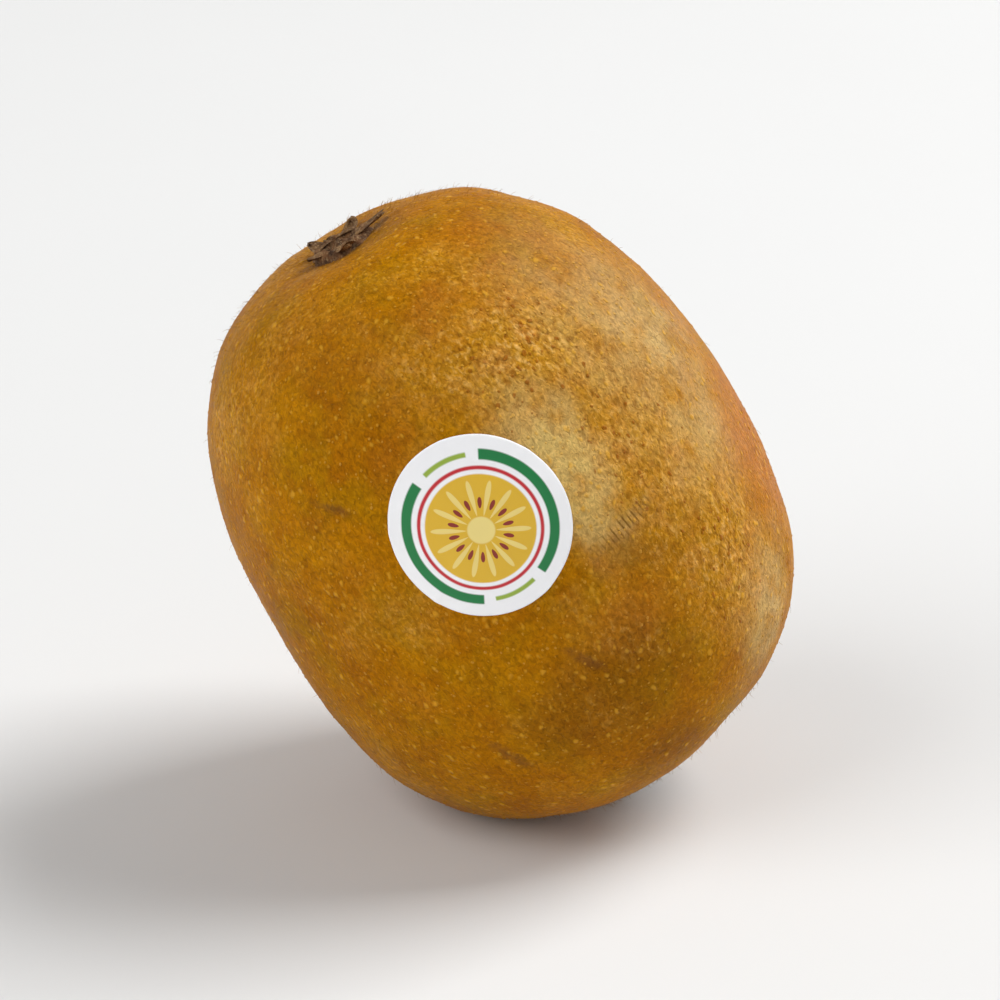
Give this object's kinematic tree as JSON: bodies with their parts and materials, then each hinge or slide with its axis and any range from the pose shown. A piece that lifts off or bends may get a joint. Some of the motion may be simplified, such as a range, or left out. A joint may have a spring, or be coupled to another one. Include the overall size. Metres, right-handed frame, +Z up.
{
  "type": "golden kiwi fruit",
  "caption": "Whole golden kiwi fruit standing on its blunt blossom end and leaning, with its stalk scar, dried styles and a plain round fruit sticker.",
  "frame": {"origin": "middle of the finished fruit's box, on the surface that its flat spot stands on", "axes": "+Z up, +X away from the side that the stalk end leans to, +Y away from the side that carries the sticker"},
  "size_m": [0.0618, 0.0522, 0.0666],
  "materials": {
    "kiwi_skin": "satin golden olive-brown fruit skin with fine corky pores and sparse down",
    "corky_scar": "dry matt cork and broken wood fibre",
    "dried_styles": "dry matt dark brown plant thread",
    "sticker_film": null
  },
  "bodies": {
    "root": {"fruit": "kiwi_skin", "stalk_scar": "corky_scar", "style_remnant": "dried_styles", "label": "sticker_film"}
  },
  "joints": []
}
